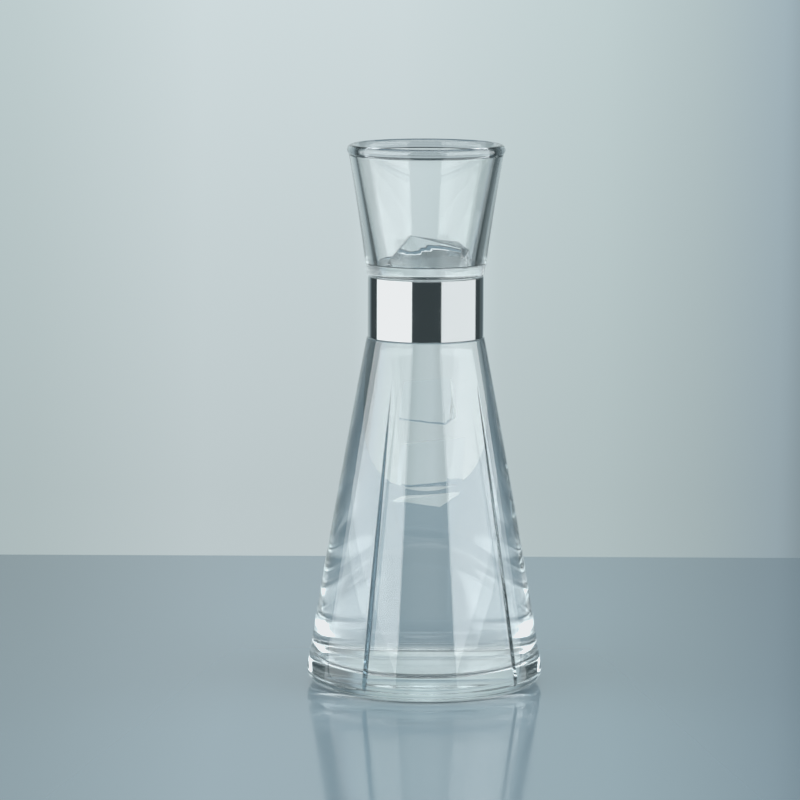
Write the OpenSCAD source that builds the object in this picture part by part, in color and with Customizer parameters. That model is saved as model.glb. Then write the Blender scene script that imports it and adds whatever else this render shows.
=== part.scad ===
// Hourglass water carafe: a heavy blown glass vessel with a polished steel collar round its waist.
// Millimetres, +Z up. The origin is the middle of the foot, on the surface that the carafe stands on.
// The two front grooves are on the -Y side, and the seam of the collar is at the back, on +Y.

/* [Vessel] */
// Overall height, from the table to the top of the lip
vessel_h = 250; // [244:1:258]
// Largest outer radius, just above the foot
base_r = 54.5; // [53:0.5:57]
// Radius of the rounded edge between the wall and the foot
base_round_r = 6.5; // [5:0.5:8]
// Outer radius of the glass where it meets the collar
waist_r = 27.2; // [27:0.1:27.8]
// Outer radius of the lip
rim_r = 36.3; // [35:0.1:38]
// Outward bow of the body wall, at its middle
body_bow = 0.5; // [0.3:0.1:1]
// Inward bow of the mouth's outer wall, at its middle
mouth_bow = 0.4; // [0.1:0.1:0.8]

/* [Glass thickness] */
// Wall of the body near the foot
body_wall = 3.6; // [3:0.1:4.2]
// Wall of the mouth just under the lip
lip_wall = 3.6; // [3:0.1:4]
// Height of the inner floor at its edge
floor_h = 9; // [8:0.5:11]
// Rise of the inner floor from its edge to its middle
floor_rise = 0.5; // [0.3:0.1:1.5]
// Depth of the hollow under the foot, at its middle
punt_h = 1.2; // [0.6:0.2:2.4]
// Width of the flat ring that the carafe stands on
foot_w = 7; // [5:0.5:9]

/* [Neck] */
// Radius of the straight bore through the neck
bore_r = 22; // [21:0.1:22.5]
// Height of the middle of the collar above the table
collar_mid_z = 175.5; // [172:0.5:179]

/* [Collar] */
// Height of the steel collar
collar_h = 28; // [25:0.5:31]
// Outer radius of the steel collar
collar_r = 26.7; // [26.4:0.1:26.9]
// Thickness of the steel
steel_t = 0.6; // [0.4:0.1:0.8]
// Thickness of the clear liner between steel and glass
liner_t = 0.5; // [0.4:0.1:0.7]
// Gap between the two ends of the steel at the seam
seam_w = 0.2; // [0.1:0.05:0.4]
// Width of the strip that bridges the seam from inside
splice_w = 9; // [7:0.5:12]

/* [Grooves] */
// Angle between the two front grooves, and between the two back grooves
groove_spread = 80; // [70:1:90]
// Height at which each groove starts from nothing
groove_top_z = 141; // [130:1:146]
// Depth of each groove just above the rounded foot
groove_depth = 1.0; // [0.6:0.1:1.4]
// Full angle of the V that each groove is cut with
groove_angle = 100; // [80:1:115]

/* [Hidden] */

$fn = 96;
// Steps along a gently bowed wall, and along a rounded corner
bow_steps = 8;
round_steps = 8;
// Bond line between stacked pieces of the collar, and the hairline above and below its steel
bond = 0.05;
hairline = 0.15;
// Rounded shoulder of the glass above and below the collar, and the broken edges of the steel
shoulder_r = 0.7;
steel_edge = 0.15;
// Rounded corner between the inner wall and the inner floor
floor_round_r = 11;
// Radius of the curves by which the inner wall leaves the bore, above and below
throat_round_r = 42;
// How far the liner and the splice stay short of the steel's two edges
liner_setback = 0.6;
splice_setback = 1;
// The bore ends this far inside the collar's top and bottom edges
bore_setback = 1;
// How far the rounded bead of the lip turns back under, on each side of the wall
lip_turn = 45;
// Oversize of the cutting tools
over = 6;

collar_low_z = collar_mid_z - collar_h / 2;
collar_top_z = collar_mid_z + collar_h / 2;
recess_low_z = collar_low_z - hairline;
recess_top_z = collar_top_z + hairline;
bore_low_z = collar_low_z + bore_setback;
bore_top_z = collar_top_z - bore_setback;
liner_r = collar_r - steel_t - bond;
recess_r = liner_r - liner_t - bond;
foot_r = base_r - base_round_r;
// Bead of the lip: its radius, its middle, and where the outer wall and the inner wall meet it
lip_r = lip_wall / 2 / cos(lip_turn);
lip_mid = [rim_r - lip_r, vessel_h - lip_r];
lip_out = lip_mid + polar(lip_r, -lip_turn);
lip_in = lip_mid + polar(lip_r, 180 + lip_turn);
// Leans of the body's and the mouth's outer walls from the vertical
body_lean = atan((base_r - waist_r) / (recess_low_z - base_round_r));
mouth_lean = atan((lip_out[0] - waist_r) / (lip_out[1] - recess_top_z));
// Middle of the rounded corner inside the foot
corner = [base_r - body_wall - floor_round_r * (1 + tan(body_lean)), floor_h + floor_round_r];
// Leans of the body's and the mouth's inner walls, where they leave the bore
body_in_lean = atan((corner[0] + floor_round_r - bore_r) / (bore_low_z - corner[1]));
mouth_in_lean = atan((lip_in[0] - bore_r) / (lip_in[1] - collar_top_z));

// Point on a circle about the origin
function polar(r, angle) = r * [cos(angle), sin(angle)];

// Points on an arc about c, from angle a0 to angle a1
function arc(c, r, a0, a1, steps = round_steps) =
    [for (i = [0:steps]) c + polar(r, a0 + (a1 - a0) * i / steps)];

// Points from p to q, bowed by sag towards the right of the direction of travel
function bow(p, q, sag, steps = bow_steps) =
    let (d = q - p, side = [d[1], -d[0]] / norm(d))
    [for (i = [0:steps]) let (t = i / steps) p + d * t + side * sag * 4 * t * (1 - t)];

// Points of a shallow dome whose edge is at radius r and height z, from t0 of its radius to t1
function dome(r, z, rise, t0, t1, steps = bow_steps) =
    [for (i = [0:steps]) let (t = t0 + (t1 - t0) * i / steps) [r * t, z + rise * (1 - t * t)]];

// Outer surface of the glass from the flat foot to the lip
outer_line = concat(
    arc([foot_r, base_round_r], base_round_r, -90, body_lean),
    bow(
        [foot_r, base_round_r] + polar(base_round_r, body_lean),
        [waist_r, recess_low_z - shoulder_r],
        body_bow
    ),
    arc([waist_r - shoulder_r, recess_low_z - shoulder_r], shoulder_r, body_lean, 90, 3),
    [[recess_r, recess_low_z], [recess_r, recess_top_z]],
    arc([waist_r - shoulder_r, recess_top_z + shoulder_r], shoulder_r, -90, -mouth_lean, 3),
    bow([waist_r, recess_top_z + shoulder_r], lip_out, -mouth_bow)
);

// Inner surface of the glass from the lip, down the mouth, the bore and the body, to the floor
inner_line = concat(
    arc(lip_mid, lip_r, -lip_turn, 180 + lip_turn, 3 * round_steps),
    arc([bore_r + throat_round_r, bore_top_z], throat_round_r, 180 - mouth_in_lean, 180, 4),
    arc([bore_r + throat_round_r, bore_low_z], throat_round_r, 180, 180 + body_in_lean, 4),
    bow(
        [bore_r + throat_round_r, bore_low_z] - polar(throat_round_r, body_in_lean),
        corner + polar(floor_round_r, body_lean),
        -body_bow
    ),
    arc(corner, floor_round_r, body_lean, -90),
    dome(corner[0], floor_h, floor_rise, 1, 0)
);

// Closed section of the glass, on the right of the axis
module glass_section() {
    polygon(concat(dome(foot_r - foot_w, 0, punt_h, 0, 1), outer_line, inner_line));
}

// V-shaped cut whose bottom edge runs straight from the wall's surface down and out past the foot
module groove_cut() {
    along = (groove_top_z - base_round_r) / (collar_low_z - base_round_r);
    top = [base_r + (waist_r - base_r) * along, groove_top_z];
    low = [base_r - groove_depth, base_round_r];
    lean = atan((low[0] - top[0]) / (top[1] - low[1]));
    half_w = over * tan(groove_angle / 2);
    translate([low[0], 0, low[1]])
        rotate([0, -lean, 0])
            translate([0, 0, -over])
                linear_extrude(height = norm(top - low) + over)
                    polygon([[0, 0], [over, half_w], [over, -half_w]]);
}

// Ring about the neck between two radii and two heights
module ring(r_in, r_out, low, top) {
    translate([0, 0, low])
        difference() {
            cylinder(h = top - low, r = r_out);
            translate([0, 0, -over])
                cylinder(h = top - low + 2 * over, r = r_in);
        }
}

// Upright block across the back of the ring, used to cut the seam and to keep the splice
module back_block(w) {
    translate([-w / 2, 0, collar_low_z - over])
        cube([w, collar_r + over, collar_h + 2 * over]);
}

module glass_vessel() {
    color([0.86, 0.93, 0.94, 0.35])
        difference() {
            rotate_extrude()
                glass_section();
            for (front = [-90, 90], side = [-1, 1])
                rotate([0, 0, front + side * groove_spread / 2])
                    groove_cut();
        }
}

module steel_collar() {
    inner_r = collar_r - steel_t;
    color("silver")
        difference() {
            rotate_extrude()
                polygon([
                    [inner_r, collar_low_z],
                    [collar_r - steel_edge, collar_low_z],
                    [collar_r, collar_low_z + steel_edge],
                    [collar_r, collar_top_z - steel_edge],
                    [collar_r - steel_edge, collar_top_z],
                    [inner_r, collar_top_z]
                ]);
            back_block(seam_w);
        }
}

module collar_liner() {
    color([0.9, 0.92, 0.92, 0.6])
        difference() {
            ring(
                recess_r + bond, liner_r,
                collar_low_z + liner_setback, collar_top_z - liner_setback
            );
            back_block(splice_w + 2 * hairline);
        }
}

module collar_splice() {
    color("gainsboro")
        intersection() {
            ring(
                recess_r + 2 * bond, liner_r,
                collar_low_z + splice_setback, collar_top_z - splice_setback
            );
            back_block(splice_w);
        }
}

glass_vessel();
steel_collar();
collar_liner();
collar_splice();
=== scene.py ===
import math

import bmesh
import bpy
from mathutils import Matrix, Vector
from mathutils.noise import noise


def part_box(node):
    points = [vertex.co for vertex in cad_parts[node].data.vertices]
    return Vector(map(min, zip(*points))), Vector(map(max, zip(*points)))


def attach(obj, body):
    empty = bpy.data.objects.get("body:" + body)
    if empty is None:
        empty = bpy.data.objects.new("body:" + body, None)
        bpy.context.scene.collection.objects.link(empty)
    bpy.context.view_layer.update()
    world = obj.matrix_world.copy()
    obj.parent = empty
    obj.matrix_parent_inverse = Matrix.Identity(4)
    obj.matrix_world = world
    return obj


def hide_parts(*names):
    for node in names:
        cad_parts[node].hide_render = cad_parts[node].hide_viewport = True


MM = 0.001

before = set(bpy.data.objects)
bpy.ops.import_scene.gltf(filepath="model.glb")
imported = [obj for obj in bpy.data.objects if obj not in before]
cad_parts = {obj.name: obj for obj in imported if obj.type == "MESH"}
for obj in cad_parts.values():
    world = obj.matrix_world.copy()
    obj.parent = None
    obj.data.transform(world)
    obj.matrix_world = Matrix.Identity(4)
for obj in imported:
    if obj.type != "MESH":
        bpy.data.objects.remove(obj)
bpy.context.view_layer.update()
scene = bpy.context.scene

# ---------------------------------------------------------------- sizes, in metres
# from the CAD nodes
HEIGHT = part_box("glass_vessel")[1].z
COLLAR_Z0, COLLAR_Z1 = (corner.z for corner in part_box("steel_collar"))

# the same values as in part.scad
BASE_R = 54.5 * MM
BASE_ROUND = 6.5 * MM
WAIST_R = 27.2 * MM
RIM_R = 36.3 * MM
BODY_BOW = 0.5 * MM
MOUTH_BOW = 0.4 * MM
BODY_WALL = 3.6 * MM
LIP_WALL = 3.6 * MM
LIP_TURN = 45
FLOOR_H = 9 * MM
FLOOR_RISE = 0.5 * MM
FLOOR_ROUND = 11 * MM
PUNT_H = 1.2 * MM
FOOT_W = 7 * MM
BORE_R = 22 * MM
BORE_SETBACK = 1 * MM
THROAT_ROUND = 42 * MM
HAIRLINE = 0.15 * MM
RECESS_R = 25.5 * MM
SHOULDER_R = 0.7 * MM
GROOVE_SPREAD = 80
GROOVE_TOP = 141 * MM
GROOVE_DEPTH = 1 * MM
GROOVE_ANGLE = 100

# what follows from them, as it does in part.scad
FOOT_R = BASE_R - BASE_ROUND
RECESS_Z0, RECESS_Z1 = COLLAR_Z0 - HAIRLINE, COLLAR_Z1 + HAIRLINE
BORE_Z0, BORE_Z1 = COLLAR_Z0 + BORE_SETBACK, COLLAR_Z1 - BORE_SETBACK
LIP_R = LIP_WALL / 2 / math.cos(math.radians(LIP_TURN))
LIP_MID = Vector((RIM_R - LIP_R, HEIGHT - LIP_R))
LIP_OUT = LIP_MID + Vector((LIP_WALL / 2, -LIP_R * math.sin(math.radians(LIP_TURN))))
LIP_IN = LIP_OUT - Vector((LIP_WALL, 0))
BODY_LEAN = math.atan((BASE_R - WAIST_R) / (RECESS_Z0 - BASE_ROUND))
MOUTH_LEAN = math.atan((LIP_OUT.x - WAIST_R) / (LIP_OUT.y - RECESS_Z1))
CORNER = Vector((BASE_R - BODY_WALL - FLOOR_ROUND * (1 + math.tan(BODY_LEAN)), FLOOR_H + FLOOR_ROUND))
BODY_IN_LEAN = math.atan((CORNER.x + FLOOR_ROUND - BORE_R) / (BORE_Z0 - CORNER.y))
MOUTH_IN_LEAN = math.atan((LIP_IN.x - BORE_R) / (LIP_IN.y - COLLAR_Z1))

# ---------------------------------------------------------------- profile of the glass, (r, z) pairs
# how many steps each stretch of the profile is drawn with
DOME_STEPS = 24
CORNER_STEPS = 28
BODY_STEPS, BODY_IN_STEPS = 110, 90
SHOULDER_STEPS = 6
MOUTH_STEPS, MOUTH_IN_STEPS = 50, 40
BEAD_STEPS = 54
THROAT_STEPS = 10
# points closer than this are one point
SAME_POINT = 1e-6


def polar(r, angle):
    return Vector((r * math.cos(angle), r * math.sin(angle)))


def arc(centre, r, a0, a1, steps):
    """Points on an arc from a0 to a1 degrees."""
    centre = Vector(centre)
    a0, a1 = math.radians(a0), math.radians(a1)
    return [centre + polar(r, a0 + (a1 - a0) * i / steps) for i in range(steps + 1)]


def bow(p, q, sag, steps):
    """Points from p to q, bowed by sag towards the right of the direction of travel."""
    p, q = Vector(p), Vector(q)
    d = q - p
    right = Vector((d.y, -d.x)) / d.length
    return [p + d * t + right * sag * 4 * t * (1 - t) for t in (i / steps for i in range(steps + 1))]


def dome(r, z, rise, t0, t1, steps):
    """Points of a shallow dome whose edge is at radius r and height z, from t0 of its radius to t1."""
    ts = [t0 + (t1 - t0) * i / steps for i in range(steps + 1)]
    return [Vector((r * t, z + rise * (1 - t * t))) for t in ts]


def thin_out(line):
    kept = [line[0]]
    for p in line[1:]:
        if (p - kept[-1]).length > SAME_POINT:
            kept.append(p)
    return kept


def outer_line():
    """From the middle of the foot, up the outside, to the bead of the lip."""
    deg = math.degrees
    shoulder = WAIST_R - SHOULDER_R
    return thin_out(
        dome(FOOT_R - FOOT_W, 0, PUNT_H, 0, 1, DOME_STEPS)
        + arc((FOOT_R, BASE_ROUND), BASE_ROUND, -90, deg(BODY_LEAN), CORNER_STEPS)
        + bow(
            Vector((FOOT_R, BASE_ROUND)) + polar(BASE_ROUND, BODY_LEAN),
            (WAIST_R, RECESS_Z0 - SHOULDER_R), BODY_BOW, BODY_STEPS,
        )
        + arc((shoulder, RECESS_Z0 - SHOULDER_R), SHOULDER_R, deg(BODY_LEAN), 90, SHOULDER_STEPS)
        + [Vector((RECESS_R, RECESS_Z0)), Vector((RECESS_R, RECESS_Z1))]
        + arc((shoulder, RECESS_Z1 + SHOULDER_R), SHOULDER_R, -90, -deg(MOUTH_LEAN), SHOULDER_STEPS)
        + bow((WAIST_R, RECESS_Z1 + SHOULDER_R), LIP_OUT, -MOUTH_BOW, MOUTH_STEPS)
    )


def inner_line():
    """Round the bead of the lip and down the inside, to the middle of the floor."""
    deg = math.degrees
    high_centre = Vector((BORE_R + THROAT_ROUND, BORE_Z1))
    low_centre = Vector((BORE_R + THROAT_ROUND, BORE_Z0))
    high_end = high_centre + polar(THROAT_ROUND, math.pi - MOUTH_IN_LEAN)
    low_end = low_centre - polar(THROAT_ROUND, BODY_IN_LEAN)
    return thin_out(
        arc(LIP_MID, LIP_R, -LIP_TURN, 180 + LIP_TURN, BEAD_STEPS)
        + bow(LIP_IN, high_end, 0, MOUTH_IN_STEPS)
        + arc(high_centre, THROAT_ROUND, 180 - deg(MOUTH_IN_LEAN), 180, THROAT_STEPS)
        + arc(low_centre, THROAT_ROUND, 180, 180 + deg(BODY_IN_LEAN), THROAT_STEPS)
        + bow(low_end, CORNER + polar(FLOOR_ROUND, BODY_LEAN), -BODY_BOW, BODY_IN_STEPS)
        + arc(CORNER, FLOOR_ROUND, deg(BODY_LEAN), -90, CORNER_STEPS)
        + dome(CORNER.x, FLOOR_H, FLOOR_RISE, 1, 0, DOME_STEPS)
    )


# ---------------------------------------------------------------- mesh helpers
def mesh_object(name, verts, faces, sharp=None):
    """A smooth-shaded mesh. Edges that turn by more than sharp degrees, if given, stay sharp."""
    mesh = bpy.data.meshes.new(name)
    mesh.from_pydata(verts, [], faces)
    mesh.polygons.foreach_set("use_smooth", [True] * len(mesh.polygons))
    if sharp is not None:
        mesh.set_sharp_from_angle(angle=math.radians(sharp))
    mesh.update()
    obj = bpy.data.objects.new(name, mesh)
    scene.collection.objects.link(obj)
    return obj


def lathe(name, line, columns, place, sharp=None):
    """A closed solid turned from a line that starts and ends on the axis.
    place(point, column) gives the vertex of that point of the line at that column."""
    verts = [place(p, c) for p in line[1:-1] for c in range(columns)]
    rings = len(line) - 2
    first, last = len(verts), len(verts) + 1
    verts += [(0, 0, line[0].y), (0, 0, line[-1].y)]
    faces = []
    for k in range(rings - 1):
        low, high = k * columns, (k + 1) * columns
        for c in range(columns):
            d = (c + 1) % columns
            faces.append((low + c, low + d, high + d, high + c))
    top = (rings - 1) * columns
    for c in range(columns):
        d = (c + 1) % columns
        faces.append((first, d, c))
        faces.append((last, top + c, top + d))
    return mesh_object(name, verts, faces, sharp)


def plane(name, centre, right, up):
    """A flat quad whose front looks along right x up."""
    c, r, u = Vector(centre), Vector(right), Vector(up)
    return mesh_object(name, [c - r - u, c + r - u, c + r + u, c - r + u], [(0, 1, 2, 3)])


# ---------------------------------------------------------------- material helpers
def material(name):
    mat = bpy.data.materials.new(name)
    mat.use_nodes = True
    nodes = mat.node_tree.nodes
    return mat, nodes, mat.node_tree.links, nodes["Principled BSDF"]


def noise_value(nodes, links, scale, stretch=(1, 1, 1), detail=4, roughness=0.5):
    coords = nodes.new("ShaderNodeTexCoord")
    mapping = nodes.new("ShaderNodeMapping")
    mapping.inputs["Scale"].default_value = stretch
    tex = nodes.new("ShaderNodeTexNoise")
    tex.inputs["Scale"].default_value = scale
    tex.inputs["Detail"].default_value = detail
    tex.inputs["Roughness"].default_value = roughness
    links.new(coords.outputs["Object"], mapping.inputs["Vector"])
    links.new(mapping.outputs["Vector"], tex.inputs["Vector"])
    return tex.outputs["Fac"]


def spread(nodes, links, source, low, high, start=0.3, end=0.7):
    """Maps a value from start..end, where most of a noise lies, to low..high."""
    node = nodes.new("ShaderNodeMapRange")
    node.inputs["From Min"].default_value = start
    node.inputs["From Max"].default_value = end
    node.inputs["To Min"].default_value = low
    node.inputs["To Max"].default_value = high
    links.new(source, node.inputs["Value"])
    return node.outputs["Result"]


def ramp(nodes, links, source, stops):
    node = nodes.new("ShaderNodeValToRGB")
    elements = node.color_ramp.elements
    while len(elements) < len(stops):
        elements.new(0.5)
    for element, (at, colour) in zip(elements, stops):
        element.position = at
        element.color = (*colour, 1)
    links.new(source, node.inputs["Fac"])
    return node.outputs["Color"]


def bump(nodes, links, source, strength, distance):
    node = nodes.new("ShaderNodeBump")
    node.inputs["Strength"].default_value = strength
    node.inputs["Distance"].default_value = distance
    links.new(source, node.inputs["Height"])
    return node.outputs["Normal"]


def dress(obj, mat):
    obj.data.materials.clear()
    obj.data.materials.append(mat)


# ---------------------------------------------------------------- camera
CAMERA_TURN = math.radians(-10)
CAMERA_REACH = 1.883
CAMERA_HEIGHT = 0.393
CAMERA_PITCH = math.radians(7.9)
CAMERA_AIM = math.radians(0.355)
CAMERA_ROLL = math.radians(0.18)
SENSOR_MM, LENS_MM = 36, 185.4

# level directions: from the carafe towards the camera, away from it, and to the right in the picture
toward = Vector((math.sin(CAMERA_TURN), -math.cos(CAMERA_TURN), 0))
ahead = -toward
side = Vector((ahead.y, -ahead.x, 0))

camera_data = bpy.data.cameras.new("camera")
camera_data.sensor_width = SENSOR_MM
camera_data.lens = LENS_MM
camera_data.clip_start, camera_data.clip_end = 0.05, 20
camera = bpy.data.objects.new("camera", camera_data)
scene.collection.objects.link(camera)
scene.camera = camera
place = Matrix.Translation(toward * CAMERA_REACH + Vector((0, 0, CAMERA_HEIGHT)))
turn = Matrix.Rotation(CAMERA_TURN + CAMERA_AIM, 4, "Z")
pitch = Matrix.Rotation(math.pi / 2 - CAMERA_PITCH, 4, "X")
roll = Matrix.Rotation(CAMERA_ROLL, 4, "Z")
camera.matrix_world = place @ turn @ pitch @ roll

# ---------------------------------------------------------------- glass vessel
# directions of the four grooves, each one's columns of vertices in half-widths from its middle, and how
# many columns lie between two grooves
GROOVES = [math.radians(middle + half * GROOVE_SPREAD) for middle in (-90, 90) for half in (-0.5, 0.5)]
GROOVE_CUTS = (-1.15, -1, -0.9, -0.6, -0.3, -0.1, 0, 0.1, 0.3, 0.6, 0.9, 1, 1.15)
BETWEEN = 44
GROOVE_HALF_TAN = math.tan(math.radians(GROOVE_ANGLE / 2))
# smallest half-width of a groove's columns, and their largest as an angle about the axis, in radians
GROOVE_MIN_W = 0.15 * MM
GROOVE_MAX_TURN = 0.03
# rounding of the groove's bottom, as a share of its half-width
GROOVE_SOFT = 0.08
# edges that turn by more than this many degrees stay sharp
GLASS_SHARP = 40
# how much painted shade darkens the bead of the lip and the right-hand grooves, next to the left-hand
# grooves
LIP_SHADE = 0.42
RIGHT_GROOVE_SHADE = 0.5
# a groove's painted shade is darkest where it is this deep or deeper, and out to this share of its
# half-width
SHADE_DEPTH = 0.5 * MM
SHADE_REACH = 0.95

GLASS_IOR = 1.5
# the glass's clear colour, and the darker colour of its painted shade in the grooves and the bead of the
# lip
GLASS_CLEAR, GLASS_SHADED = (0.99, 1, 1), (0.055, 0.11, 0.155)
# colour of thick glass, and how strongly it absorbs, per metre
GLASS_TINT = (0.45, 0.78, 0.82)
GLASS_DENSITY = 2.5


def groove_depth_at(r, z):
    """How deep the straight bottom edge of a groove lies under the wall at this height."""
    if z > GROOVE_TOP:
        return 0
    top_r = BASE_R + (WAIST_R - BASE_R) * (GROOVE_TOP - BASE_ROUND) / (COLLAR_Z0 - BASE_ROUND)
    low_r = BASE_R - GROOVE_DEPTH
    line_r = low_r + (top_r - low_r) * (z - BASE_ROUND) / (GROOVE_TOP - BASE_ROUND)
    return max(0, r - line_r)


def groove_fall(u):
    """Share of the depth at u half-widths from the middle, slightly rounded at the bottom."""
    soft = GROOVE_SOFT
    return max(0, 1 - (math.sqrt(u * u + soft * soft) - soft) / (math.sqrt(1 + soft * soft) - soft))


def glass_columns():
    """One entry for each column of vertices. (groove, cut, None, None) lies cut half-widths from the middle
    of a groove. (groove, None, following, share) lies that share of the way to the following groove."""
    columns = []
    for groove, following in zip(GROOVES, GROOVES[1:] + [GROOVES[0] + 2 * math.pi]):
        columns += [(groove, cut, None, None) for cut in GROOVE_CUTS]
        columns += [(groove, None, following, (i + 1) / (BETWEEN + 1)) for i in range(BETWEEN)]
    return columns


def place_glass(p, column):
    groove, cut, following, share = columns[column]
    depth = groove_depth_at(p.x, p.y) if id(p) in on_outer else 0
    half = min(GROOVE_MAX_TURN, max(GROOVE_MIN_W, depth * GROOVE_HALF_TAN) / max(p.x, 1 * MM))
    if cut is None:
        start, end = groove + GROOVE_CUTS[-1] * half, following - GROOVE_CUTS[-1] * half
        r, angle = p.x, start + (end - start) * share
    else:
        r, angle = p.x - depth * groove_fall(abs(cut)), groove + cut * half
    return (r * math.cos(angle), r * math.sin(angle), p.y)


def shade_at(p, column):
    """How much painted shade darkens the glass's colour here: most in the left-hand grooves, less in the
    right-hand ones and in the bead of the lip."""
    groove, cut = column[:2]
    if p.y > LIP_OUT.y:
        return LIP_SHADE
    if id(p) not in on_outer or cut is None or abs(cut) > SHADE_REACH:
        return 0
    most = RIGHT_GROOVE_SHADE if math.cos(groove) > 0 else 1
    return most * min(1, groove_depth_at(p.x, p.y) / SHADE_DEPTH)


def glass_material():
    mat, nodes, links, bsdf = material("clear_glass")
    shade = nodes.new("ShaderNodeAttribute")
    shade.attribute_name = "shade"
    stops = [(0.05, GLASS_CLEAR), (0.9, GLASS_SHADED)]
    # painted shade: the shade attribute darkens the glass's colour and weakens its reflections in the
    # grooves and the bead of the lip
    links.new(ramp(nodes, links, shade.outputs["Fac"], stops), bsdf.inputs["Base Color"])
    links.new(spread(nodes, links, shade.outputs["Fac"], 0.5, 0.1, 0, 1), bsdf.inputs["Specular IOR Level"])
    bsdf.inputs["Transmission Weight"].default_value = 1
    bsdf.inputs["IOR"].default_value = GLASS_IOR
    smear = noise_value(nodes, links, 40, (1, 1, 0.35))
    links.new(spread(nodes, links, smear, 0.0, 0.02), bsdf.inputs["Roughness"])
    wave = noise_value(nodes, links, 22, (1, 1, 0.4), detail=2)
    links.new(bump(nodes, links, wave, strength=0.12, distance=0.6 * MM), bsdf.inputs["Normal"])
    volume = nodes.new("ShaderNodeVolumeAbsorption")
    volume.inputs["Color"].default_value = (*GLASS_TINT, 1)
    volume.inputs["Density"].default_value = GLASS_DENSITY
    links.new(volume.outputs["Volume"], nodes["Material Output"].inputs["Volume"])
    return mat


outer, inner = outer_line(), inner_line()
on_outer = {id(p) for p in outer}
profile = thin_out(outer + inner)
columns = glass_columns()
glass = lathe("glass_body", profile, len(columns), place_glass, sharp=GLASS_SHARP)
# the painted shade of each vertex, kept in the shade attribute
# the last two vertices are the ones on the axis
shades = [shade_at(p, column) for p in profile[1:-1] for column in columns] + [0, 0]
glass.data.attributes.new("shade", "FLOAT", "POINT").data.foreach_set("value", shades)
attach(glass, "root")
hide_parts("glass_vessel")
dress(glass, glass_material())

# ---------------------------------------------------------------- collar, splice and liner
POLISHED_STEEL = (0.55, 0.555, 0.56)
PLAIN_STEEL = (0.5, 0.51, 0.52)
SILICONE = (0.86, 0.89, 0.9)
SILICONE_IOR = 1.41


def steel_material(name, colour, smoothest, roughest, line_strength):
    """Steel with fine lines round the collar and cloudy wiping marks."""
    mat, nodes, links, bsdf = material(name)
    bsdf.inputs["Metallic"].default_value = 1
    bsdf.inputs["Base Color"].default_value = (*colour, 1)
    lines = noise_value(nodes, links, 60, (1, 1, 60), roughness=0.6)
    marks = noise_value(nodes, links, 45, detail=5, roughness=0.6)
    links.new(spread(nodes, links, marks, smoothest, roughest), bsdf.inputs["Roughness"])
    links.new(bump(nodes, links, lines, line_strength, distance=0.02 * MM), bsdf.inputs["Normal"])
    return mat


def liner_material():
    mat, nodes, links, bsdf = material("clear_silicone")
    bsdf.inputs["Base Color"].default_value = (*SILICONE, 1)
    bsdf.inputs["Transmission Weight"].default_value = 0.55
    bsdf.inputs["IOR"].default_value = SILICONE_IOR
    cloud = noise_value(nodes, links, 120)
    links.new(spread(nodes, links, cloud, 0.3, 0.5), bsdf.inputs["Roughness"])
    links.new(bump(nodes, links, cloud, strength=0.2, distance=0.1 * MM), bsdf.inputs["Normal"])
    return mat


dress(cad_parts["steel_collar"], steel_material("polished_steel", POLISHED_STEEL, 0.03, 0.08, 0.15))
dress(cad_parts["collar_splice"], steel_material("plain_steel", PLAIN_STEEL, 0.25, 0.4, 0.6))
dress(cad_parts["collar_liner"], liner_material())

# ---------------------------------------------------------------- water and ice, contents and not pieces
WATER_Z = 195 * MM
WATER_IOR = 1.333
WATER_COLUMNS = 128
# how far the water's mesh reaches into the glass, so that no film of air shows between them
INTO_GLASS = 0.1 * MM
# how high the water climbs at the glass, and how far from the glass that falls to a third
MENISCUS_RISE = 1.2 * MM
MENISCUS_REACH = 1.6 * MM
# the steps across its surface, and how much they crowd towards the glass
SURFACE_STEPS = 24
SURFACE_CROWDING = 1.5

# lower than real ice's, so that the lumps stay as faint as in the photo
ICE_IN_AIR, ICE_IN_WATER = 1.2, 0.985
# how far a lump's edges are melted back, and the size and height of the dimples in its faces
ICE_ROUND = 0.6 * MM
ICE_DIMPLES_PER_M = 130
ICE_DIMPLE = 0.35 * MM


def water_line():
    """Up the inside of the glass from the middle of the floor, then in over the surface to the axis."""
    line = [p for p in reversed(inner) if p.y < WATER_Z + MENISCUS_RISE]
    wet = []
    for i, p in enumerate(line):
        along = (line[min(len(line) - 1, i + 1)] - line[max(0, i - 1)]).normalized()
        out = Vector((along.y, -along.x))
        wet.append(p + out * INTO_GLASS if p.x > 0 else Vector((0, p.y - INTO_GLASS)))
    edge = wet[-1]
    surface = []
    for i in range(1, SURFACE_STEPS + 1):
        r = edge.x * (1 - (i / SURFACE_STEPS) ** SURFACE_CROWDING)
        rise = (edge.y - WATER_Z) * math.exp(-(edge.x - r) / MENISCUS_REACH)
        surface.append(Vector((max(r, 0), WATER_Z + rise)))
    surface[-1].x = 0
    return thin_out(wet + surface)


def place_round(p, column):
    angle = 2 * math.pi * column / WATER_COLUMNS
    return (p.x * math.cos(angle), p.x * math.sin(angle), p.y)


def water_material():
    mat, nodes, links, bsdf = material("water")
    bsdf.inputs["Base Color"].default_value = (0.99, 0.995, 1, 1)
    bsdf.inputs["Transmission Weight"].default_value = 1
    bsdf.inputs["Roughness"].default_value = 0
    bsdf.inputs["IOR"].default_value = WATER_IOR
    return mat


def ice_material(name, ior, roughest):
    mat, nodes, links, bsdf = material(name)
    bsdf.inputs["Base Color"].default_value = (0.97, 0.99, 1, 1)
    bsdf.inputs["Transmission Weight"].default_value = 1
    bsdf.inputs["IOR"].default_value = ior
    cloud = noise_value(nodes, links, 160, detail=3)
    links.new(spread(nodes, links, cloud, 0.0, roughest), bsdf.inputs["Roughness"])
    links.new(bump(nodes, links, cloud, strength=0.35, distance=0.5 * MM), bsdf.inputs["Normal"])
    return mat


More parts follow.
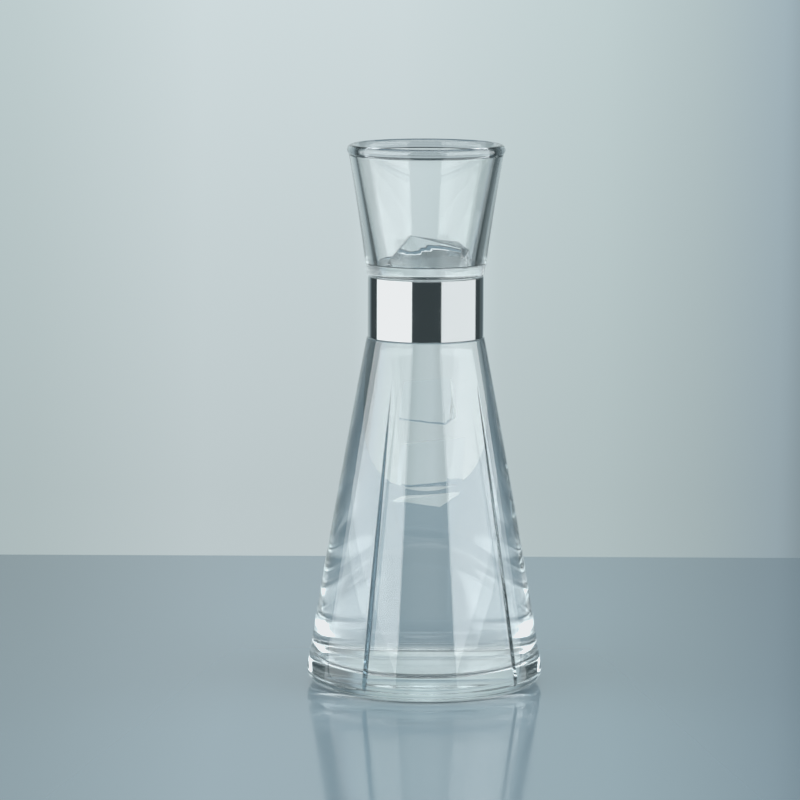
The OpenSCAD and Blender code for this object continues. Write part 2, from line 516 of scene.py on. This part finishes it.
def ice_lump(name, mat, corners):
    """A lump of ice: the hull of its corners, melted round at the edges.
    Corners are (right, back, up) in mm, as the camera sees them."""
    form = bmesh.new()
    for corner in corners:
        form.verts.new(Matrix.Rotation(CAMERA_TURN, 3, "Z") @ Vector(corner) * MM)
    bmesh.ops.convex_hull(form, input=form.verts)
    bmesh.ops.dissolve_limit(form, angle_limit=math.radians(4), verts=form.verts, edges=form.edges)
    bmesh.ops.bevel(form, geom=form.edges[:], offset=ICE_ROUND, segments=3, profile=0.6, affect="EDGES")
    bmesh.ops.triangulate(form, faces=form.faces[:])
    bmesh.ops.subdivide_edges(form, edges=form.edges[:], cuts=2, use_grid_fill=True)
    for v in form.verts:
        v.co += v.normal * noise(v.co * ICE_DIMPLES_PER_M) * ICE_DIMPLE
    bmesh.ops.recalc_face_normals(form, faces=form.faces)
    mesh = bpy.data.meshes.new(name)
    form.to_mesh(mesh)
    form.free()
    mesh.polygons.foreach_set("use_smooth", [True] * len(mesh.polygons))
    lump = bpy.data.objects.new(name, mesh)
    scene.collection.objects.link(lump)
    dress(lump, mat)


water = lathe("water", water_line(), WATER_COLUMNS, place_round)
dress(water, water_material())

floating = ice_material("ice", ICE_IN_AIR, 0.06)
sunk = ice_material("sunk_ice", ICE_IN_WATER, 0.1)
ice_lump("ice_top", floating, [
    (-6.5, -7, 208.5), (-8, 7, 207), (19.5, -6, 202), (16, 9, 203.5),
    (-10.5, -9, 198), (-18.5, -5, 194.6), (-16, 7, 194.6), (20.5, -5, 194.6),
    (16, 10, 194.6), (2, -15, 194.7), (13, -14, 194.6),
])
ice_lump("ice_middle", sunk, [
    (-9, -10, 112), (10, -12, 115), (13, 8, 113), (-6, 11, 110),
    (-11, -8, 92), (8, -11, 95), (12, 9, 90), (-8, 10, 89),
])
ice_lump("ice_low", sunk, [
    (-12, -8, 86), (6, -14, 84), (12, 4, 88), (-7, 12, 85),
    (-9, -9, 70), (7, -11, 68), (11, 6, 69), (-9, 10, 71),
])
ice_lump("ice_high", sunk, [
    (-8, -8, 141), (9, -9, 143), (9, 8, 140), (-7, 9, 139),
    (-10, -6, 123), (8, -9, 121), (10, 8, 122), (-8, 9, 124),
])

# ---------------------------------------------------------------- table and wall
# the table reaches this far behind, in front and to each side of the carafe, a hair below its foot
TABLE_BACK, TABLE_FRONT, TABLE_HALF = 0.33, 0.6, 0.6
TABLE_Z = -0.05 * MM
TABLE_IOR = 1.5
# its colour darkens to both sides of the picture, over this half-width: painted shade
TABLE_SHADE_FADE = 0.25
TABLE_MIDDLE, TABLE_SHADED_EDGE = (0.117, 0.178, 0.222), (0.06, 0.09, 0.115)

# the glowing wall: its distance behind the carafe, half its width, and its two edges
WALL_BACK, WALL_HALF = 0.55, 0.55
WALL_LOW, WALL_HIGH = -0.2, 0.42
# how bright it is at the table's height and at this height above it
GLOW_LOW, GLOW_HIGH, GLOW_HEIGHT = 0.78, 1.02, 0.3
# a patch of brighter painted light, low behind the carafe: how much brighter, and the heights over which it
# fades out
PATCH = 1.16
PATCH_Z0, PATCH_Z1 = 0.185, 0.207


def across_view(nodes, links, position, half):
    """0 to 1 from half metres left of the carafe's axis to half metres right of it, in the picture."""
    dot = nodes.new("ShaderNodeVectorMath")
    dot.operation = "DOT_PRODUCT"
    dot.inputs[1].default_value = side
    links.new(position, dot.inputs[0])
    return spread(nodes, links, dot.outputs["Value"], 0, 1, -half, half)


def table_material():
    mat, nodes, links, bsdf = material("table")
    geometry = nodes.new("ShaderNodeNewGeometry")
    across = across_view(nodes, links, geometry.outputs["Position"], TABLE_SHADE_FADE)
    # painted shade: the colour darkens from the middle towards both sides
    links.new(ramp(nodes, links, across, [
        (0.0, TABLE_SHADED_EDGE), (0.12, (0.078, 0.12, 0.152)), (0.32, TABLE_MIDDLE),
        (0.66, TABLE_MIDDLE), (0.84, (0.08, 0.12, 0.152)), (1.0, TABLE_SHADED_EDGE),
    ]), bsdf.inputs["Base Color"])
    grain = noise_value(nodes, links, 18)
    links.new(spread(nodes, links, grain, 0.09, 0.11), bsdf.inputs["Roughness"])
    bsdf.inputs["IOR"].default_value = TABLE_IOR
    return mat


def wall_material():
    """A glowing backdrop of painted light, which glows on the side towards the carafe and can't be seen
    from behind.
    """
    mat, nodes, links, bsdf = material("wall")
    nodes.remove(bsdf)
    geometry = nodes.new("ShaderNodeNewGeometry")
    across = across_view(nodes, links, geometry.outputs["Position"], WALL_HALF)
    # painted light: the glow is brightest near the carafe and fades to dark at both sides
    colour = ramp(nodes, links, across, [
        (0.000, (0.03, 0.04, 0.04)), (0.073, (0.05, 0.07, 0.08)), (0.136, (0.30, 0.38, 0.41)),
        (0.227, (0.50, 0.59, 0.60)), (0.286, (0.55, 0.64, 0.64)), (0.378, (0.69, 0.77, 0.78)),
        (0.486, (0.68, 0.76, 0.77)), (0.595, (0.56, 0.66, 0.66)), (0.649, (0.45, 0.54, 0.55)),
        (0.693, (0.33, 0.42, 0.47)), (0.714, (0.16, 0.21, 0.24)), (0.736, (0.05, 0.07, 0.08)),
        (1.000, (0.03, 0.04, 0.04)),
    ])
    parts = nodes.new("ShaderNodeSeparateXYZ")
    links.new(geometry.outputs["Position"], parts.inputs[0])
    upward = spread(nodes, links, parts.outputs["Z"], GLOW_LOW, GLOW_HIGH, 0, GLOW_HEIGHT)

    in_patch = ramp(nodes, links, across, [
        (0.46, (0, 0, 0)), (0.48, (1, 1, 1)), (0.52, (1, 1, 1)), (0.54, (0, 0, 0)),
    ])
    patch = nodes.new("ShaderNodeMapRange")
    links.new(in_patch, patch.inputs["Value"])
    patch.inputs["To Min"].default_value = 1
    fading = spread(nodes, links, parts.outputs["Z"], PATCH, 1, PATCH_Z0, PATCH_Z1)
    links.new(fading, patch.inputs["To Max"])
    strength = nodes.new("ShaderNodeMath")
    strength.operation = "MULTIPLY"
    links.new(upward, strength.inputs[0])
    links.new(patch.outputs["Result"], strength.inputs[1])

    glow = nodes.new("ShaderNodeEmission")
    links.new(colour, glow.inputs["Color"])
    links.new(strength.outputs["Value"], glow.inputs["Strength"])
    one_sided = nodes.new("ShaderNodeMixShader")
    links.new(geometry.outputs["Backfacing"], one_sided.inputs["Fac"])
    links.new(glow.outputs[0], one_sided.inputs[1])
    links.new(nodes.new("ShaderNodeBsdfTransparent").outputs[0], one_sided.inputs[2])
    links.new(one_sided.outputs[0], nodes["Material Output"].inputs["Surface"])
    return mat


table = plane("table", ahead * (TABLE_BACK - TABLE_FRONT) / 2 + Vector((0, 0, TABLE_Z)),
              side * TABLE_HALF, ahead * (TABLE_BACK + TABLE_FRONT) / 2)
dress(table, table_material())

wall = plane("wall", ahead * WALL_BACK + Vector((0, 0, (WALL_LOW + WALL_HIGH) / 2)),
             side * WALL_HALF, (0, 0, (WALL_HIGH - WALL_LOW) / 2))
dress(wall, wall_material())

# ---------------------------------------------------------------- lights and room
SOFT_WHITE = (0.97, 1.0, 1.0)
# the softboxes stand in two upright rows: their distance from the carafe, and each row's two ends, in
# degrees from the direction of the camera
SOFTBOX_REACH = 1.1
LEFT_ROW, RIGHT_ROW = (-27, -112), (31, 116)
# the heights between which each one reaches
LOW, MIDDLE, HIGH = (0.0, 0.13), (0.13, 0.33), (0.33, 1.3)

OVERHEAD_SIZE = 1.2
OVERHEAD_Z = 1.4
OVERHEAD_RADIANCE = 2.4

# the room around: as the camera sees it past the wall, and as the carafe and the table mirror it
ROOM_SEEN = (0.5, 0.58, 0.61)
ROOM_MIRRORED = (0.004, 0.005, 0.0055)


def area_light(name, width, height, radiance, matrix):
    data = bpy.data.lights.new(name, "AREA")
    data.shape = "RECTANGLE"
    data.size, data.size_y = width, height
    data.color = SOFT_WHITE
    data.energy = radiance * math.pi * width * height
    light = bpy.data.objects.new(name, data)
    scene.collection.objects.link(light)
    light.matrix_world = matrix
    light.visible_camera = False


def softbox(name, row, heights, radiance):
    ends = []
    for angle in row:
        a = math.radians(angle)
        ends.append((toward * math.cos(a) + side * math.sin(a)) * SOFTBOX_REACH)
    p, q = ends
    low, high = heights
    centre = (p + q) / 2 + Vector((0, 0, (low + high) / 2))
    inward = Vector((-centre.x, -centre.y, 0)).normalized()
    facing = inward.to_track_quat("-Z", "Y").to_matrix().to_4x4()
    area_light(name, (q - p).length, high - low, radiance, Matrix.Translation(centre) @ facing)


softbox("softbox_left_low", LEFT_ROW, LOW, 2.1)
softbox("softbox_left_middle", LEFT_ROW, MIDDLE, 4.2)
softbox("softbox_left_high", LEFT_ROW, HIGH, 2.8)
softbox("softbox_right_low", RIGHT_ROW, LOW, 1.55)
softbox("softbox_right_middle", RIGHT_ROW, MIDDLE, 4.2)
softbox("softbox_right_high", RIGHT_ROW, HIGH, 2.8)
area_light("overhead", OVERHEAD_SIZE, OVERHEAD_SIZE, OVERHEAD_RADIANCE,
           Matrix.Translation((0, 0, OVERHEAD_Z)))

world = bpy.data.worlds.new("room")
scene.world = world
world.use_nodes = True
nodes, links = world.node_tree.nodes, world.node_tree.links
nodes.clear()
seen = nodes.new("ShaderNodeBackground")
seen.inputs["Color"].default_value = (*ROOM_SEEN, 1)
mirrored = nodes.new("ShaderNodeBackground")
mirrored.inputs["Color"].default_value = (*ROOM_MIRRORED, 1)
path = nodes.new("ShaderNodeLightPath")
mix = nodes.new("ShaderNodeMixShader")
links.new(path.outputs["Is Camera Ray"], mix.inputs["Fac"])
links.new(mirrored.outputs[0], mix.inputs[1])
links.new(seen.outputs[0], mix.inputs[2])
links.new(mix.outputs[0], nodes.new("ShaderNodeOutputWorld").inputs["Surface"])

# ---------------------------------------------------------------- grade and bounces
# the finished picture's deepest black and its clipped white, per channel, graded as the photo is
GRADE_BLACK = (0.188, 0.220, 0.227)
GRADE_WHITE = (0.914, 0.925, 0.929)
GRADE_TONES = [0, 0.1, 0.2, 0.3, 0.4, 0.5, 0.6, 0.7, 0.8, 0.9, 1]


def to_linear(v):
    return v / 12.92 if v <= 0.04045 else ((v + 0.055) / 1.055) ** 2.4


view = scene.view_settings
view.view_transform = "Standard"
view.use_curve_mapping = True
view.curve_mapping.extend = "HORIZONTAL"
for curve, black, white in zip(view.curve_mapping.curves, GRADE_BLACK, GRADE_WHITE):
    while len(curve.points) < len(GRADE_TONES):
        curve.points.new(0.5, 0.5)
    for point, tone in zip(curve.points, GRADE_TONES):
        point.location = (to_linear(tone), to_linear(black + (white - black) * tone))
view.curve_mapping.update()

# light passes many surfaces on its way through the glass, the water and the ice
scene.cycles.max_bounces = 28
scene.cycles.transmission_bounces = 28
scene.cycles.glossy_bounces = 10
